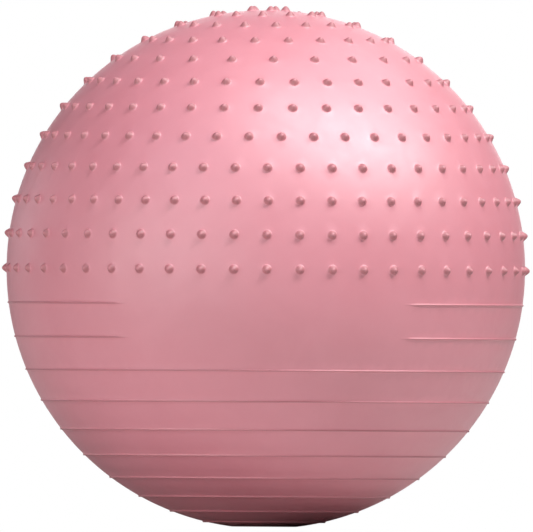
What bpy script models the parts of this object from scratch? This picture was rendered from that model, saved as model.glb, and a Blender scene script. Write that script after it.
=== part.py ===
"""Exercise ball, 65 cm, with a nubbed upper half and a ribbed lower half.

Metres, +Z up, origin on the floor at the centre of the flat patch the ball rests on. The valve faces +Y.
Three pieces: the hollow blown skin, the valve seat fused into it, and the plug that pulls out of the seat.
"""

import math

import bmesh
import bpy
from mathutils import Matrix, Vector
from mathutils.geometry import delaunay_2d_cdt

# The ball
SKIN_RADIUS = 0.325
WALL = 0.0008
FOOT_DROP = 0.0025          # how far the ball's own weight presses the bottom flat
CENTRE_HEIGHT = SKIN_RADIUS - FOOT_DROP

# The nubs: (degrees above the equator, how many go round, degrees the row is turned from the front)
NUB_ROWS = (
    (0.0, 49, 0.2),
    (7.7, 49, 0.2),
    (15.4, 49, 0.5),
    (23.1, 46, 0.3),
    (30.8, 43, 3.8),
    (38.5, 37, -2.4),
    (46.2, 33, -2.2),
    (53.9, 23, 2.4),
    (61.7, 23, -5.8),
    (69.8, 18, 5.4),
    (78.0, 12, -5.3),
    (86.0, 5, 10.0),
)
NUB_SIDES = 6
NUB_RADIUS = 0.0066
NUB_HEIGHT = 0.0060

# The ribs, counted down from the equator
RIB_PITCH = 7.65            # degrees
RIB_COUNT = 10
RIB_SIDES = 48
RIB_HALF_WIDTH = 0.0018
RIB_HEIGHT = 0.0016
PANEL_RIBS = (1, 2)         # the ribs that stop either side of the smooth front panel
PANEL_HALF_ANGLE = 34.0     # degrees

# The valve, on the back between the first two ribs, with the skin flat round it
VALVE_DROP = 1.5 * RIB_PITCH
PAD_RADIUS = 0.0185
PAD_LEVEL = math.sqrt(SKIN_RADIUS ** 2 - PAD_RADIUS ** 2)
SEAT_RADIUS = 0.0130
SEAT_DEPTH = 0.0085         # how far the seat reaches inside the ball
FLANGE_RADIUS = 0.0165
FLANGE_THICKNESS = 0.0020
BOSS_RADIUS = 0.0078        # the tube of the seat behind its flange
GAP = 0.0003                # clearance between neighbouring pieces
HEAD_RADIUS = 0.0085
HEAD_THICKNESS = 0.0022
HEAD_EDGE = 0.0008
STEM_TOP_RADIUS = 0.0046
STEM_TIP_RADIUS = 0.0034
STEM_TAPER = 0.0150         # the tapered part of the stem
BEAD_HEIGHT = 0.0006
BEAD_HALF_LENGTH = 0.0015
TIP_LENGTH = 0.0050         # from the end of the taper to the tip, bead included
ROUND_SIDES = 24

PVC_COLOUR = (0.76, 0.33, 0.37, 1.0)
SEAT_COLOUR = (0.70, 0.29, 0.33, 1.0)
PLUG_COLOUR = (0.90, 0.89, 0.86, 1.0)


def clear_scene():
    for old in list(bpy.data.objects):
        bpy.data.objects.remove(old, do_unlink=True)
    for old in list(bpy.data.collections):
        bpy.data.collections.remove(old)


def collection(name):
    made = bpy.data.collections.new(name)
    bpy.context.scene.collection.children.link(made)
    return made


def material(name, colour, roughness):
    made = bpy.data.materials.new(name)
    made.use_nodes = True
    shader = made.node_tree.nodes["Principled BSDF"]
    shader.inputs["Base Color"].default_value = colour
    shader.inputs["Roughness"].default_value = roughness
    return made


def object_from(bm, name, home):
    bmesh.ops.recalc_face_normals(bm, faces=bm.faces)
    mesh = bpy.data.meshes.new(name)
    bm.to_mesh(mesh)
    bm.free()
    mesh.shade_smooth()
    made = bpy.data.objects.new(name, mesh)
    home.objects.link(made)
    return made


def direction(up, turn):
    """Unit vector `up` degrees above the equator and `turn` degrees round from the front, towards +X."""
    rise, around = math.radians(up), math.radians(turn)
    return Vector((math.cos(rise) * math.sin(around), -math.cos(rise) * math.cos(around), math.sin(rise)))


def foot_rim():
    """Degrees above the equator, so less than zero, of the rim of the flat patch underneath."""
    return math.degrees(math.acos(CENTRE_HEIGHT / SKIN_RADIUS)) - 90.0


def ring_round(middle, radius, sides):
    """Directions evenly round a small circle of this radius on the skin."""
    across = Vector((0.0, 0.0, 1.0)).cross(middle).normalized()
    along = middle.cross(across)
    reach = math.asin(radius / SKIN_RADIUS)
    for side in range(sides):
        turn = 2.0 * math.pi * (side + 0.5) / sides
        rim = across * math.cos(turn) + along * math.sin(turn)
        yield middle * math.cos(reach) + rim * math.sin(reach)


def circle_round(up):
    """Directions evenly round the ball at this many degrees above the equator."""
    for side in range(RIB_SIDES):
        yield direction(up, 360.0 * side / RIB_SIDES)


def nub_middles():
    for up, count, first in NUB_ROWS:
        for nub in range(count):
            yield direction(up, first + 360.0 * nub / count)


def nub_points():
    """(direction, height above the skin) of the tip and the base of every nub."""
    for middle in nub_middles():
        yield middle, NUB_HEIGHT
        for rim in ring_round(middle, NUB_RADIUS, NUB_SIDES):
            yield rim, 0.0


def rib_middles():
    for rib in range(1, RIB_COUNT + 1):
        yield from circle_round(-rib * RIB_PITCH)


def rib_height(rib, way):
    """How high the rib stands in this direction: nothing across the smooth panel."""
    from_front = math.degrees(abs(math.atan2(way.x, -way.y)))
    return 0.0 if rib in PANEL_RIBS and from_front < PANEL_HALF_ANGLE else RIB_HEIGHT


def rib_points():
    """(direction, height above the skin) of the crest and both edges of every rib."""
    half = math.degrees(RIB_HALF_WIDTH / SKIN_RADIUS)
    for rib in range(1, RIB_COUNT + 1):
        for way in circle_round(-rib * RIB_PITCH):
            yield way, rib_height(rib, way)
        for edge in (half, -half):
            for way in circle_round(edge - rib * RIB_PITCH):
                yield way, 0.0


def flat_rings():
    """(direction, height) round the patch the ball rests on and round the pad for the valve."""
    for way in circle_round(foot_rim()):
        yield way, 0.0
    for way in ring_round(direction(-VALVE_DROP, 180.0), PAD_RADIUS, ROUND_SIDES):
        yield way, 0.0


def closed_shell(points, radius):
    """A closed body through points on a sphere, joined to their nearest neighbours and flat underneath.

    Seen from the bottom pole, a sphere's nearest neighbours are those of a flat map, so the map is triangulated.
    """
    flat_map = [Vector((way.x, way.y)) / (1.0 + way.z) for way, _ in points]
    places, _, faces, sources, _, _ = delaunay_2d_cdt(flat_map, [], [], 0, 1e-7)
    bm = bmesh.new()
    for came_from in sources:
        way, height = points[came_from[0]]
        bm.verts.new(way * (radius + height) + Vector((0.0, 0.0, CENTRE_HEIGHT)))
    bm.verts.ensure_lookup_table()
    for face in faces:
        bm.faces.new([bm.verts[corner] for corner in face])
    rim = [edge for edge in bm.edges if edge.is_boundary]
    bmesh.ops.contextual_create(bm, geom=rim)
    return bm


def valve_matrix():
    """Puts a piece turned about +Z on the valve's flat pad, with +Z pointing straight out of the ball."""
    out = direction(-VALVE_DROP, 180.0)
    seat = out * PAD_LEVEL + Vector((0.0, 0.0, CENTRE_HEIGHT))
    return Matrix.Translation(seat) @ out.to_track_quat("Z", "Y").to_matrix().to_4x4()


def turned(name, profile, home):
    """A round piece at the valve, turned from (radius, height) points that run top to bottom on the outer side.

    A profile that never touches the axis is closed, so it turns into a ring.
    """
    bm = bmesh.new()
    corners = [bm.verts.new((radius, 0.0, height)) for radius, height in profile]
    for upper, lower in zip(corners, corners[1:]):
        bm.edges.new((upper, lower))
    if profile[0][0] > 0.0:
        bm.edges.new((corners[-1], corners[0]))
    made = object_from(bm, name, home)
    screw = made.modifiers.new("turn", "SCREW")
    screw.steps = ROUND_SIDES
    screw.render_steps = ROUND_SIDES
    screw.use_merge_vertices = True
    screw.merge_threshold = 0.00001
    screw.use_smooth_shade = True
    made.matrix_world = valve_matrix()
    return made


def cylinder_profile(radius, reach):
    return ((0.0, reach), (radius, reach), (radius, -reach), (0.0, -reach))


def cut(piece, tool):
    boolean = piece.modifiers.new("cut " + tool.name, "BOOLEAN")
    boolean.operation = "DIFFERENCE"
    boolean.solver = "EXACT"
    boolean.object = tool
    tool.hide_render = True
    tool.display_type = "WIRE"


def ball_skin(home, cutters):
    """The blown skin: hollow, even in thickness but for the solid nubs and ribs, with a hole for the valve seat."""
    outside = [*nub_points(), *rib_points(), *flat_rings()]
    skin = object_from(closed_shell(outside, SKIN_RADIUS), "ball_skin", home)

    inside = [(way, 0.0) for way in [*nub_middles(), *rib_middles()]] + [*flat_rings()]
    cavity = object_from(closed_shell(inside, SKIN_RADIUS - WALL), "cavity", cutters)
    cut(skin, cavity)

    bore = turned("valve_bore", cylinder_profile(SEAT_RADIUS + GAP, 2.0 * WALL), cutters)
    cut(skin, bore)
    skin.data.materials.append(material("pink_pvc", PVC_COLOUR, 0.4))
    return skin


def stem_radius(depth):
    """The plug stem's radius this far under its head."""
    return STEM_TOP_RADIUS + (STEM_TIP_RADIUS - STEM_TOP_RADIUS) * depth / STEM_TAPER


def valve_seat(home):
    """A bush through the skin with a flange inside it, a shallow dish for the plug's head and a bore for its stem."""
    dish_radius = HEAD_RADIUS + GAP
    dish_floor = -HEAD_THICKNESS - GAP
    flange_top = -WALL - GAP
    profile = (
        (dish_radius, 0.0),
        (SEAT_RADIUS, 0.0),
        (SEAT_RADIUS, flange_top),
        (FLANGE_RADIUS, flange_top),
        (FLANGE_RADIUS, flange_top - FLANGE_THICKNESS),
        (BOSS_RADIUS, flange_top - FLANGE_THICKNESS),
        (BOSS_RADIUS, -SEAT_DEPTH),
        (stem_radius(SEAT_DEPTH - HEAD_THICKNESS) + GAP, -SEAT_DEPTH),
        (stem_radius(GAP) + GAP, dish_floor),
        (dish_radius, dish_floor),
    )
    seat = turned("valve_seat", profile, home)
    seat.data.materials.append(material("seat_pvc", SEAT_COLOUR, 0.4))
    return seat


def air_plug(home):
    """A flat round head with a rounded edge, and a tapered stem with a sealing bead near its tip."""
    under_head = -HEAD_THICKNESS
    taper_end = under_head - STEM_TAPER
    profile = (
        (0.0, 0.0),
        (HEAD_RADIUS - HEAD_EDGE, 0.0),
        (HEAD_RADIUS, -HEAD_EDGE),
        (HEAD_RADIUS, under_head),
        (STEM_TOP_RADIUS, under_head),
        (STEM_TIP_RADIUS, taper_end),
        (STEM_TIP_RADIUS + BEAD_HEIGHT, taper_end - BEAD_HALF_LENGTH),
        (STEM_TIP_RADIUS, taper_end - 2.0 * BEAD_HALF_LENGTH),
        (STEM_TIP_RADIUS - BEAD_HEIGHT, taper_end - TIP_LENGTH),
        (0.0, taper_end - TIP_LENGTH),
    )
    plug = turned("air_plug", profile, home)
    plug.data.materials.append(material("white_plug", PLUG_COLOUR, 0.4))
    return plug


def build():
    clear_scene()
    home = collection("exercise_ball")
    cutters = collection("cutters")
    ball_skin(home, cutters)
    valve_seat(home)
    air_plug(home)


build()
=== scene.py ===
"""Exercise ball, 65 cm: its fine surface, materials, light and camera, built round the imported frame.

Metres, +Z up, origin on the floor under the ball's centre. The smooth panel faces -Y and the valve +Y.
"""

import math

import bpy
import numpy as np
from mathutils import Matrix, Vector
from mathutils.geometry import delaunay_2d_cdt


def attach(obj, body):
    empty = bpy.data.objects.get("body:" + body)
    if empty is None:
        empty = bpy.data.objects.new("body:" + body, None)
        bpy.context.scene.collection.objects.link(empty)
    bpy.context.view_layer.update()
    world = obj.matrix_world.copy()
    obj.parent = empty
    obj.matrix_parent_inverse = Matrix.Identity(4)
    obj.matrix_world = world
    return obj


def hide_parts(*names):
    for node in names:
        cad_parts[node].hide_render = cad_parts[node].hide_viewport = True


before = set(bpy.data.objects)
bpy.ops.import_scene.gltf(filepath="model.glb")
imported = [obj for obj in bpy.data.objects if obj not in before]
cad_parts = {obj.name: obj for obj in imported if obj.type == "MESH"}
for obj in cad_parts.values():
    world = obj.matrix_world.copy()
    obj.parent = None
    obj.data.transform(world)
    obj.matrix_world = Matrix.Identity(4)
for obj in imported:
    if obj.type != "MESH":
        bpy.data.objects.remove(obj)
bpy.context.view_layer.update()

# The ball, as the frame has it
SKIN_RADIUS = 0.325
WALL = 0.0008
CENTRE_HEIGHT = 0.3225
CENTRE = np.array((0.0, 0.0, CENTRE_HEIGHT))

# The nubs: (degrees above the equator, how many go round, degrees the row is turned from the front)
NUB_ROWS = (
    (0.0, 49, 0.2),
    (7.7, 49, 0.2),
    (15.4, 49, 0.5),
    (23.1, 46, 0.3),
    (30.8, 43, 3.8),
    (38.5, 37, -2.4),
    (46.2, 33, -2.2),
    (53.9, 23, 2.4),
    (61.7, 23, -5.8),
    (69.8, 18, 5.4),
    (78.0, 12, -5.3),
    (86.0, 5, 10.0),
)
NUB_RADIUS = 0.0069
NUB_HEIGHT = 0.0060
NUB_TIP = 0.52              # share of the nub's radius that its rounded tip takes
NUB_FILLET = 0.84           # share where its straight flank turns into the fillet at its foot
NUB_RINGS = (0.12, 0.24, 0.36, 0.48, 0.60, 0.72, 0.80, 0.88, 0.95, 1.0)
NUB_SIDES = 20

# The ribs, counted down from the equator
RIB_PITCH = 7.65            # degrees
RIB_COUNT = 10
RIB_HALF_WIDTH = 0.0019
RIB_HEIGHT = 0.0015
RIB_TIP = 0.5
RIB_FILLET = 0.75
RIB_STEPS = (-1.0, -0.85, -0.7, -0.5, -0.25, 0.0, 0.25, 0.5, 0.7, 0.85, 1.0)
ROUND_BALL = 288            # points round each rib
PANEL_RIBS = (1, 2)         # the ribs that fade out either side of the smooth front panel
PANEL_EDGE = 35.0           # degrees from the front where they have half their height
PANEL_FADE = 2.5            # degrees over which they fade, either side of that

# The valve, on the back between the first two ribs, with the skin flat round it
VALVE_DROP = 1.5 * RIB_PITCH
PAD_RADIUS = 0.0185
PAD_LEVEL = math.sqrt(SKIN_RADIUS ** 2 - PAD_RADIUS ** 2)
BORE_RADIUS = 0.0133
ROUND_VALVE = 64

FILL_POINTS = 14000         # evenly spread points on the plain skin between nubs and ribs
INNER_POINTS = 3000         # the same on the wall's inner face, which is plain
THICKNESS = "thickness"     # the mesh attribute for how far the relief stands above the skin, in metres
CLEAR_OF_NUB = 0.0030
CLEAR_OF_RIB = 0.0030
CLEAR_INSIDE_PAD = 1.1      # times the pad's radius kept free of points on the inner face
CLEAR_INSIDE_FOOT = 1.0     # degrees kept free above the flat patch on the inner face
SAME_POINT = 1e-8           # points closer than this in the flat map count as one
SHARP_EDGE = 35.0           # degrees between faces beyond which an edge isn't shaded smooth


def direction(up, turn):
    """Unit vectors `up` degrees above the equator and `turn` degrees round from the front, towards +X."""
    rise, around = np.radians(up), np.radians(turn)
    return np.stack(np.broadcast_arrays(
        np.cos(rise) * np.sin(around), -np.cos(rise) * np.cos(around), np.sin(rise)), axis=-1)


def circle_round(up, count=ROUND_BALL):
    return direction(up, np.arange(count) * 360.0 / count)


def ring_round(middle, radius, sides):
    """Directions evenly round a small circle of this radius on the skin."""
    across = np.cross((0.0, 0.0, 1.0), middle)
    across /= np.linalg.norm(across)
    along = np.cross(middle, across)
    turn = (np.arange(sides)[:, None] + 0.5) * 2.0 * math.pi / sides
    reach = math.asin(radius / SKIN_RADIUS)
    rim = across * np.cos(turn) + along * np.sin(turn)
    return middle * math.cos(reach) + rim * math.sin(reach)


def even_spread(count):
    """Directions spread evenly over the whole ball along a golden-angle spiral."""
    step = np.arange(count) + 0.5
    up = np.degrees(np.arcsin(1.0 - 2.0 * step / count))
    return direction(up, step * 180.0 * (3.0 - math.sqrt(5.0)))


def bump_profile(share, tip, fillet):
    """Height, 1 to 0, over share 0 to 1, of a bump with a rounded tip, straight flank and filleted foot."""
    slope = 2.0 / (1.0 + fillet - tip)
    if share < tip:
        return 1.0 - slope * share ** 2 / (2.0 * tip)
    if share < fillet:
        return 1.0 - slope * (share - tip / 2.0)
    return slope * (1.0 - share) ** 2 / (2.0 * (1.0 - fillet))


def nub_middles():
    return np.concatenate([direction(up, first + np.arange(count) * 360.0 / count)
                           for up, count, first in NUB_ROWS])


def nub_surface():
    """(directions, heights) of the tip and the rings of every nub."""
    for middle in nub_middles():
        yield middle[None, :], np.array((NUB_HEIGHT,))
        for share in NUB_RINGS:
            height = NUB_HEIGHT * bump_profile(share, NUB_TIP, NUB_FILLET)
            yield ring_round(middle, NUB_RADIUS * share, NUB_SIDES), np.full(NUB_SIDES, height)


def panel_fade(ways):
    """1 away from the smooth front panel, 0 on it, with a soft step between."""
    from_front = np.degrees(np.abs(np.arctan2(ways[:, 0], -ways[:, 1])))
    share = np.clip((from_front - PANEL_EDGE) / (2.0 * PANEL_FADE) + 0.5, 0.0, 1.0)
    return share * share * (3.0 - 2.0 * share)


def rib_surface():
    """(directions, heights) of the circles that each rib's cross-section sweeps."""
    half = math.degrees(RIB_HALF_WIDTH / SKIN_RADIUS)
    for rib in range(1, RIB_COUNT + 1):
        for step in RIB_STEPS:
            ways = circle_round(half * step - rib * RIB_PITCH)
            heights = np.full(len(ways), RIB_HEIGHT * bump_profile(abs(step), RIB_TIP, RIB_FILLET))
            yield ways, heights * panel_fade(ways) if rib in PANEL_RIBS else heights


def plain_skin():
    """Evenly spread directions clear of every nub, rib, the valve's pad and the flat patch underneath."""
    ways = even_spread(FILL_POINTS)
    up = np.degrees(np.arcsin(ways[:, 2]))
    clear = (ways @ nub_middles().T).max(axis=1) < math.cos((NUB_RADIUS + CLEAR_OF_NUB) / SKIN_RADIUS)
    clear &= ways @ valve_way() < math.cos((PAD_RADIUS + CLEAR_OF_NUB) / SKIN_RADIUS)
    rib_room = math.degrees((RIB_HALF_WIDTH + CLEAR_OF_RIB) / SKIN_RADIUS)
    for rib in range(1, RIB_COUNT + 1):
        clear &= np.abs(up + rib * RIB_PITCH) > rib_room
    clear &= up > foot_up() + rib_room
    return ways[clear]


def valve_way():
    return direction(-VALVE_DROP, 180.0)


def foot_up():
    """Degrees above the equator of the rim of the flat patch."""
    return math.degrees(math.acos(CENTRE_HEIGHT / SKIN_RADIUS)) - 90.0


def shell(bore, rim, others, radius):
    """Vertices and faces of the skin's outer or inner face, open at the bore and closed flat underneath.

    Seen from the bottom pole, a sphere's nearest neighbours are those of a flat map, so the map is
    triangulated. The ribs' circles, the only ones of ROUND_BALL points in `others`, are kept as edges.
    """
    ways = np.concatenate([bore, rim] + [way for way, _ in others])
    heights = np.concatenate([np.zeros(len(bore) + len(rim))] + [height for _, height in others])
    flat_map = [Vector(point) for point in (ways[:, :2] / (1.0 + ways[:, 2:])).tolist()]
    kept_edges = []
    start = len(bore) + len(rim)
    for way, _ in others:
        if len(way) == ROUND_BALL:
            kept_edges += [(start + step, start + (step + 1) % ROUND_BALL)
                           for step in range(ROUND_BALL)]
        start += len(way)
    _, _, triangles, sources, _, _ = delaunay_2d_cdt(flat_map, kept_edges, [], 0, SAME_POINT)
    first = [came_from[0] for came_from in sources]
    faces = [[first[corner] for corner in triangle] for triangle in triangles]
    faces = [face for face in faces if max(face) >= len(bore)]
    faces.append(list(range(len(bore), len(bore) + len(rim)))[::-1])
    return CENTRE + ways * (radius + heights)[:, None], faces


def smooth_object(name, vertices, faces, thickness):
    """A smooth mesh that carries, at each vertex, how much thicker than the plain wall it is there."""
    mesh = bpy.data.meshes.new(name)
    mesh.from_pydata(vertices.tolist(), [], faces)
    mesh.attributes.new(THICKNESS, "FLOAT", "POINT").data.foreach_set("value", thickness)
    mesh.shade_smooth()
    mesh.set_sharp_from_angle(angle=math.radians(SHARP_EDGE))
    made = bpy.data.objects.new(name, mesh)
    bpy.context.scene.collection.objects.link(made)
    return made


def skin():
    """The whole skin: its relief outside, a plain face inside, and the bore's wall joining the two."""
    bore = ring_round(valve_way(), BORE_RADIUS, ROUND_VALVE)
    flat_bore = bore * (PAD_LEVEL / (bore @ valve_way()))[:, None] / SKIN_RADIUS
    rim = circle_round(foot_up())
    pad = [(ring_round(valve_way(), PAD_RADIUS, ROUND_VALVE), np.zeros(ROUND_VALVE))]
    fill = plain_skin()
    outside = [*nub_surface(), *rib_surface(), (fill, np.zeros(len(fill))), *pad]
    outer, outer_faces = shell(bore, rim, outside, SKIN_RADIUS)
    outer[:len(bore)] = CENTRE + flat_bore * SKIN_RADIUS

    spread = even_spread(INNER_POINTS)
    keep = spread @ valve_way() < math.cos(CLEAR_INSIDE_PAD * PAD_RADIUS / SKIN_RADIUS)
    keep &= spread[:, 2] > math.sin(math.radians(foot_up() + CLEAR_INSIDE_FOOT))
    inside = [(spread[keep], np.zeros(keep.sum())), *pad]
    inner, inner_faces = shell(bore, rim, inside, SKIN_RADIUS - WALL)
    inner[:len(bore)] = CENTRE + flat_bore * (SKIN_RADIUS - WALL)

    start = len(outer)
    faces = outer_faces + [[start + corner for corner in face[::-1]] for face in inner_faces]
    for side in range(ROUND_VALVE):
        after = (side + 1) % ROUND_VALVE
        faces.append([side, after, start + after, start + side])
    heights = np.concatenate([np.zeros(len(bore) + len(rim))] + [height for _, height in outside])
    thickness = np.concatenate([heights, np.zeros(len(inner))])
    return smooth_object("ball_skin_surface", np.concatenate([outer, inner]), faces, thickness)


# The valve seat and the plug, turned about the valve's own axis; heights are from the pad's outer face
TURN_STEPS = 96
GAP = 0.0003
SEAT_RADIUS = 0.0130
SEAT_DEPTH = 0.0085
SEAT_LIP = 0.0006           # how far the seat's rounded rim stands above the pad
FLANGE_RADIUS = 0.0165
FLANGE_THICKNESS = 0.0020
FLANGE_EDGE_TOP = 0.0004    # the radii that round the flange's outer edge
FLANGE_EDGE_UNDER = 0.0009
BOSS_RADIUS = 0.0078
BOSS_FILLET = 0.0012
BOSS_EDGE = 0.0005
HEAD_RADIUS = 0.0085
HEAD_THICKNESS = 0.0022
HEAD_EDGE = 0.0009
HEAD_DISH = 0.0004          # depth of the shallow dish in the plug's head
DISH_SHAPE = ((0.50, 1.0), (0.62, 0.7), (0.70, 0.0))    # (share of the head's radius, share of the depth)
STEM_TOP_RADIUS = 0.0046
STEM_TIP_RADIUS = 0.0034
STEM_TAPER = 0.0150
STEM_FILLET = 0.0006
BEAD_HEIGHT = 0.0006
BEAD_HALF_LENGTH = 0.0015
BEAD_SPACING = 5.0          # half lengths between the two beads' tops
BEAD_STEPS = 8
RIM_STEPS = 12
TIP_LENGTH = 0.0050
TIP_EDGE = 0.0010
TIP_NARROWING = 0.0002      # how much narrower the tip is than the stem above it


def arc(middle, radius, start, end, steps=6):
    """Points on an arc in the profile's (radius, height) plane, in degrees from the outward direction."""
    angles = [math.radians(start + (end - start) * step / steps) for step in range(steps + 1)]
    return [(middle[0] + radius * math.cos(angle), middle[1] + radius * math.sin(angle))
            for angle in angles]


def stem_radius(depth):
    """The plug stem's radius this far under its head."""
    return STEM_TOP_RADIUS + (STEM_TIP_RADIUS - STEM_TOP_RADIUS) * depth / STEM_TAPER


def turned(name, profile):
    """A round piece at the valve. A profile that never touches the axis is closed into a ring."""
    count = len(profile)
    edges = [(corner, corner + 1) for corner in range(count - 1)]
    if profile[0][0] > 0.0:
        edges.append((count - 1, 0))
    mesh = bpy.data.meshes.new(name)
    mesh.from_pydata([(radius, 0.0, height) for radius, height in profile], edges, [])
    made = bpy.data.objects.new(name, mesh)
    bpy.context.scene.collection.objects.link(made)
    screw = made.modifiers.new("turn", "SCREW")
    screw.steps = TURN_STEPS
    screw.render_steps = TURN_STEPS
    screw.use_merge_vertices = True
    screw.merge_threshold = 0.00001
    screw.use_smooth_shade = True
    out = Vector(valve_way())
    place = Matrix.Translation(out * PAD_LEVEL + Vector(CENTRE))
    made.matrix_world = place @ out.to_track_quat("Z", "Y").to_matrix().to_4x4()
    return made


def seat():
    """The bush through the skin: a rounded rim, a flange inside, a dish and a tapered bore for the plug."""
    dish = HEAD_RADIUS + GAP
    dish_floor = -HEAD_THICKNESS - GAP
    flange_top = -WALL - GAP
    flange_under = flange_top - FLANGE_THICKNESS
    middle = (dish + SEAT_RADIUS) / 2.0
    half = (SEAT_RADIUS - dish) / 2.0
    rim_turns = [math.pi * (1.0 - step / RIM_STEPS) for step in range(RIM_STEPS + 1)]
    profile = [
        *[(middle + half * math.cos(turn), SEAT_LIP * math.sin(turn) - GAP) for turn in rim_turns],
        (SEAT_RADIUS, flange_top),
        *arc((FLANGE_RADIUS - FLANGE_EDGE_TOP, flange_top - FLANGE_EDGE_TOP), FLANGE_EDGE_TOP, 90.0, 0.0),
        *arc((FLANGE_RADIUS - FLANGE_EDGE_UNDER, flange_under + FLANGE_EDGE_UNDER),
             FLANGE_EDGE_UNDER, 0.0, -90.0),
        *arc((BOSS_RADIUS + BOSS_FILLET, flange_under - BOSS_FILLET), BOSS_FILLET, 90.0, 180.0),
        *arc((BOSS_RADIUS - BOSS_EDGE, BOSS_EDGE - SEAT_DEPTH), BOSS_EDGE, 0.0, -90.0),
        (stem_radius(SEAT_DEPTH - HEAD_THICKNESS) + GAP, -SEAT_DEPTH),
        (stem_radius(STEM_FILLET) + GAP, dish_floor - STEM_FILLET),
        *arc((stem_radius(0.0) + GAP + STEM_FILLET, dish_floor - STEM_FILLET),
             STEM_FILLET, 180.0, 90.0, 4)[1:],
        (dish, dish_floor),
    ]
    return turned("valve_seat_surface", profile)


def plug():
    """The push-in plug: a dished head with a rounded edge, a filleted taper and two sealing beads."""
    under = -HEAD_THICKNESS
    end = under - STEM_TAPER
    beads = []
    for top in (end + BEAD_SPACING * BEAD_HALF_LENGTH, end):
        radius = stem_radius(under - top)
        for step in range(BEAD_STEPS + 1):
            turn = math.pi * step / BEAD_STEPS
            drop = BEAD_HALF_LENGTH * (1.0 - math.cos(turn))
            beads.append((radius + BEAD_HEIGHT * math.sin(turn), top - drop))
    profile = [
        (0.0, -HEAD_DISH),
        *[(HEAD_RADIUS * out, -HEAD_DISH * deep) for out, deep in DISH_SHAPE],
        *arc((HEAD_RADIUS - HEAD_EDGE, -HEAD_EDGE), HEAD_EDGE, 90.0, 0.0),
        *arc((HEAD_RADIUS - GAP, under + GAP), GAP, 0.0, -90.0, 3),
        *arc((STEM_TOP_RADIUS + STEM_FILLET, under - STEM_FILLET), STEM_FILLET, 90.0, 180.0),
        *beads,
        *arc((STEM_TIP_RADIUS - TIP_NARROWING - TIP_EDGE, end - TIP_LENGTH + TIP_EDGE),
             TIP_EDGE, 0.0, -90.0),
        (0.0, end - TIP_LENGTH),
    ]
    return turned("air_plug_surface", profile)


class Nodes:
    """A material's node tree, with its Principled BSDF and short ways to add to it."""

    def __init__(self, name):
        self.material = bpy.data.materials.new(name)
        self.material.use_nodes = True
        self.tree = self.material.node_tree
        self.shader = self.tree.nodes["Principled BSDF"]
        self.place = self.tree.nodes.new("ShaderNodeTexCoord").outputs["Object"]

    def set(self, **values):
        for socket, value in values.items():
            self.shader.inputs[socket.replace("_", " ")].default_value = value

    def link(self, source, target):
        self.tree.links.new(source, target)

    def noise(self, size, detail=3.0, roughness=0.5, distortion=0.0):
        """Noise whose features are about `size` metres across."""
        node = self.tree.nodes.new("ShaderNodeTexNoise")
        node.inputs["Scale"].default_value = 1.0 / size
        node.inputs["Detail"].default_value = detail
        node.inputs["Roughness"].default_value = roughness
        node.inputs["Distortion"].default_value = distortion
        self.link(self.place, node.inputs["Vector"])
        return node.outputs["Fac"]

    def attribute(self, name):
        node = self.tree.nodes.new("ShaderNodeAttribute")
        node.attribute_name = name
        return node.outputs["Fac"]

    def remap(self, source, low, high, to_low, to_high):
        node = self.tree.nodes.new("ShaderNodeMapRange")
        sockets = ("From Min", "From Max", "To Min", "To Max")
        for socket, value in zip(sockets, (low, high, to_low, to_high)):
            node.inputs[socket].default_value = value
        self.link(source, node.inputs["Value"])
        return node.outputs["Result"]

    def maths(self, operation, first, second):
        node = self.tree.nodes.new("ShaderNodeMath")
        node.operation = operation
        self.link(first, node.inputs[0])
        self.link(second, node.inputs[1])
        return node.outputs["Value"]

    def mix(self, share, first, second):
        """Mixes two colours, each a tuple or a socket, by a socket."""
        node = self.tree.nodes.new("ShaderNodeMix")
        node.data_type = "RGBA"
        self.link(share, node.inputs["Factor"])
        for socket, value in zip((node.inputs[6], node.inputs[7]), (first, second)):
            if isinstance(value, tuple):
                socket.default_value = value
            else:
                self.link(value, socket)
        return node.outputs[2]

    def bump(self, height, strength, distance, under=None):
        node = self.tree.nodes.new("ShaderNodeBump")
        node.inputs["Strength"].default_value = strength
        node.inputs["Distance"].default_value = distance
        self.link(height, node.inputs["Height"])
        if under is not None:
            self.link(under, node.inputs["Normal"])
        return node.outputs["Normal"]


# The PVC's surface detail: sizes and heights in metres
CLOUD_SIZE = 0.11
SPECK_SIZE = 0.0016
RUBBED_SIZE = 0.05
FINE_SIZE = 0.0035
SWELL_SIZE = 0.030
SWELL_HEIGHT = 0.0006
GRAIN_SIZE = 0.0011
GRAIN_HEIGHT = 0.00012
ROUGH_PLAIN = 0.53
ROUGH_RUBBED = 0.46
ROUGH_SPREAD = 0.03
ROUGH_THICK = 0.2           # how much rougher the nubs and ribs are, in step with their painted shade
PAINTED_SHADE_FROM = 0.3 * NUB_HEIGHT   # the relief at which the painted shade on nubs and ribs reaches its full share
TIP_FROM = 0.80 * NUB_HEIGHT    # and at which a nub's tip begins, where the painted shade eases to half at the top


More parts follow.
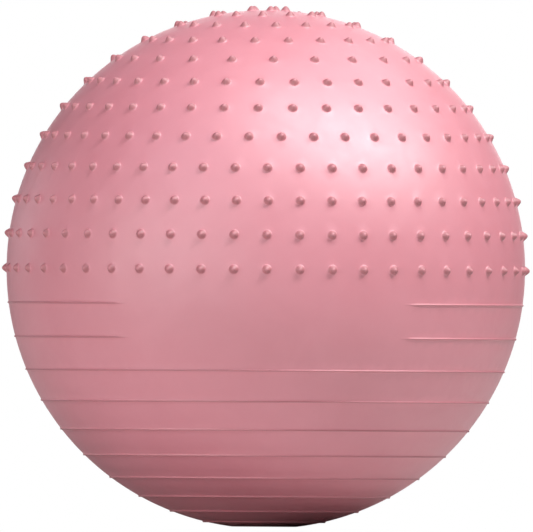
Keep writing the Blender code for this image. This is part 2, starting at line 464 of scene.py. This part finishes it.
def pvc(name, colour, paler, deeper, painted_shade_colour):
    """Soft moulded PVC: a fine matt grain, faint flow clouds in the colour, and patches rubbed smoother.

    The flanks of the nubs and ribs are mixed towards a deeper colour as painted shade, which eases off at
    the nubs' tips.
    """
    nodes = Nodes(name)
    clouds = nodes.remap(nodes.noise(CLOUD_SIZE, 4.0, 0.55, 0.6), 0.35, 0.65, 0.0, 1.0)
    body = nodes.mix(clouds, deeper, paler)
    specks = nodes.remap(nodes.noise(SPECK_SIZE, 2.0), 0.60, 0.75, 0.0, 0.25)
    body = nodes.mix(specks, body, colour)
    # Painted shade: the higher the relief, the more the colour goes to the deeper shade colour, halved
    # again at the nubs' tips
    relief = nodes.attribute(THICKNESS)
    risen = nodes.remap(relief, 0.0, PAINTED_SHADE_FROM, 0.0, 0.85)
    below_tip = nodes.remap(relief, TIP_FROM, NUB_HEIGHT, 1.0, 0.5)
    painted_shade_share = nodes.maths("MULTIPLY", risen, below_tip)
    nodes.link(nodes.mix(painted_shade_share, body, painted_shade_colour), nodes.shader.inputs["Base Color"])

    rubbed = nodes.remap(nodes.noise(RUBBED_SIZE, 5.0, 0.6, 1.2), 0.40, 0.62, 0.0, 1.0)
    fine = nodes.remap(nodes.noise(FINE_SIZE, 3.0), 0.3, 0.7, -ROUGH_SPREAD, ROUGH_SPREAD)
    roughness = nodes.maths("ADD", nodes.remap(rubbed, 0.0, 1.0, ROUGH_PLAIN, ROUGH_RUBBED), fine)
    nodes.link(nodes.maths("ADD", roughness, nodes.remap(painted_shade_share, 0.0, 1.0, 0.0, ROUGH_THICK)),
               nodes.shader.inputs["Roughness"])

    swell = nodes.bump(nodes.noise(SWELL_SIZE, 2.0), 0.25, SWELL_HEIGHT)
    grain = nodes.bump(nodes.noise(GRAIN_SIZE, 4.0, 0.6), 0.30, GRAIN_HEIGHT, swell)
    nodes.link(grain, nodes.shader.inputs["Normal"])
    nodes.set(Specular_IOR_Level=1.0, Subsurface_Weight=0.06, Subsurface_Scale=0.004)
    nodes.set(Coat_Weight=1.0, Coat_Roughness=0.64, Coat_IOR=1.7)
    nodes.shader.inputs["Subsurface Radius"].default_value = (1.0, 0.35, 0.30)
    return nodes.material


def polythene(name, colour, deeper):
    """White moulded polythene: slightly waxy, with a fine mould grain and faint handling marks."""
    nodes = Nodes(name)
    marks = nodes.remap(nodes.noise(0.004, 4.0, 0.6, 0.8), 0.45, 0.70, 0.0, 1.0)
    nodes.link(nodes.mix(marks, colour, deeper), nodes.shader.inputs["Base Color"])
    nodes.link(nodes.remap(marks, 0.0, 1.0, 0.34, 0.48), nodes.shader.inputs["Roughness"])
    nodes.link(nodes.bump(nodes.noise(0.0005, 3.0), 0.25, 0.00004), nodes.shader.inputs["Normal"])
    nodes.set(Subsurface_Weight=0.15, Subsurface_Scale=0.002)
    return nodes.material


def matt_floor(name, colour, deeper):
    nodes = Nodes(name)
    clouds = nodes.remap(nodes.noise(0.6, 3.0), 0.3, 0.7, 0.0, 1.0)
    nodes.link(nodes.mix(clouds, colour, deeper), nodes.shader.inputs["Base Color"])
    nodes.set(Roughness=0.9)
    return nodes.material


FLOOR_SIZE = 8.0
FLOOR_LEVEL = -0.0002       # a hair below the ball, so that the two don't share a plane
WORLD_STRENGTH = 0.06
LAMP_DISTANCE = 3.0
# (name, direction from the ball, size, power in watts, colour)
LAMPS = (
    ("key", (0.49, -0.38, 0.78), 0.5, 52.0, (0.98, 0.98, 1.0)),
    ("key_high", (0.12, -0.38, 0.91), 0.9, 34.0, (0.97, 0.98, 1.0)),
    ("right_high", (0.74, -0.14, 0.66), 1.0, 30.0, (1.0, 0.99, 0.98)),
    ("top_back", (0.40, 0.50, 0.77), 1.0, 8.0, (1.0, 0.98, 0.98)),
    ("up_left", (-0.50, -0.45, 0.74), 1.4, 6.0, (0.45, 0.80, 1.0)),
    ("front_left", (-0.55, -0.82, 0.12), 3.0, 47.0, (1.0, 0.98, 0.99)),
    ("left", (-0.90, -0.42, 0.06), 1.8, 12.0, (1.0, 0.88, 0.84)),
    ("back", (0.05, 0.98, 0.18), 2.0, 24.0, (1.0, 0.98, 0.98)),
    ("back_left", (-0.75, 0.65, 0.15), 1.0, 5.0, (0.98, 0.95, 1.0)),
)


def floor():
    bpy.ops.mesh.primitive_plane_add(size=FLOOR_SIZE, location=(0.0, 0.0, FLOOR_LEVEL))
    made = bpy.context.object
    made.name = "floor"
    made.data.materials.append(matt_floor("floor_matt", (0.60, 0.58, 0.57, 1.0), (0.57, 0.55, 0.54, 1.0)))


def studio_world():
    """A white surround to look at, and a dimmer one to light by, so that the lamps do the modelling."""
    world = bpy.data.worlds.new("studio")
    bpy.context.scene.world = world
    world.use_nodes = True
    tree = world.node_tree
    seen = tree.nodes["Background"]
    seen.inputs["Color"].default_value = (1.0, 1.0, 1.0, 1.0)
    seen.inputs["Strength"].default_value = 1.0
    lit = tree.nodes.new("ShaderNodeBackground")
    lit.inputs["Color"].default_value = (0.95, 0.96, 1.0, 1.0)
    lit.inputs["Strength"].default_value = WORLD_STRENGTH
    path = tree.nodes.new("ShaderNodeLightPath")
    either = tree.nodes.new("ShaderNodeMixShader")
    tree.links.new(path.outputs["Is Camera Ray"], either.inputs["Fac"])
    tree.links.new(lit.outputs["Background"], either.inputs[1])
    tree.links.new(seen.outputs["Background"], either.inputs[2])
    tree.links.new(either.outputs["Shader"], tree.nodes["World Output"].inputs["Surface"])


def lamp(name, way, size, power, colour):
    data = bpy.data.lights.new(name, "AREA")
    data.shape = "DISK"
    data.size = size
    data.energy = power
    data.color = colour
    made = bpy.data.objects.new(name, data)
    bpy.context.scene.collection.objects.link(made)
    way = Vector(way).normalized()
    made.matrix_world = Matrix.Translation(way * LAMP_DISTANCE + Vector(CENTRE)) \
        @ way.to_track_quat("Z", "Y").to_matrix().to_4x4()


CAMERA_DISTANCE = 3.0
CAMERA_WIDTH = 0.668        # metres across the picture
CAMERA_SIDE = 0.0008
CAMERA_RISE = 0.0043        # above the ball's centre
CAMERA_ROLL = 0.4           # degrees


def camera():
    """Level with the ball's middle and looking along +Y, with parallel rays."""
    data = bpy.data.cameras.new("camera")
    data.type = "ORTHO"
    data.ortho_scale = CAMERA_WIDTH
    made = bpy.data.objects.new("camera", data)
    made.location = (CAMERA_SIDE, -CAMERA_DISTANCE, CENTRE_HEIGHT + CAMERA_RISE)
    made.rotation_euler = (math.radians(90.0), math.radians(-CAMERA_ROLL), 0.0)
    bpy.context.scene.collection.objects.link(made)
    bpy.context.scene.camera = made


def dress(piece, material, body, node):
    """Gives a piece its material, parents it to the body it rides on and hides the CAD node it stands in
    for.
    """
    piece.data.materials.append(material)
    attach(piece, body)
    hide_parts(node)


def main():
    # The last colour given to each PVC is the painted shade for the flanks of the nubs and ribs
    pink = pvc("pink_pvc", (0.73, 0.262, 0.315, 1.0), (0.70, 0.235, 0.285, 1.0), (0.67, 0.215, 0.262, 1.0),
               (0.39, 0.10, 0.115, 1.0))
    bush = pvc("seat_pvc", (0.71, 0.25, 0.29, 1.0), (0.68, 0.225, 0.265, 1.0), (0.65, 0.205, 0.245, 1.0),
               (0.39, 0.10, 0.115, 1.0))
    white = polythene("white_plug", (0.88, 0.87, 0.84, 1.0), (0.80, 0.79, 0.75, 1.0))
    dress(skin(), pink, "ball", "ball_skin")
    dress(seat(), bush, "ball", "valve_seat")
    dress(plug(), white, "plug", "air_plug")
    floor()
    studio_world()
    for values in LAMPS:
        lamp(*values)
    camera()
    bpy.context.scene.view_settings.view_transform = "Standard"


main()
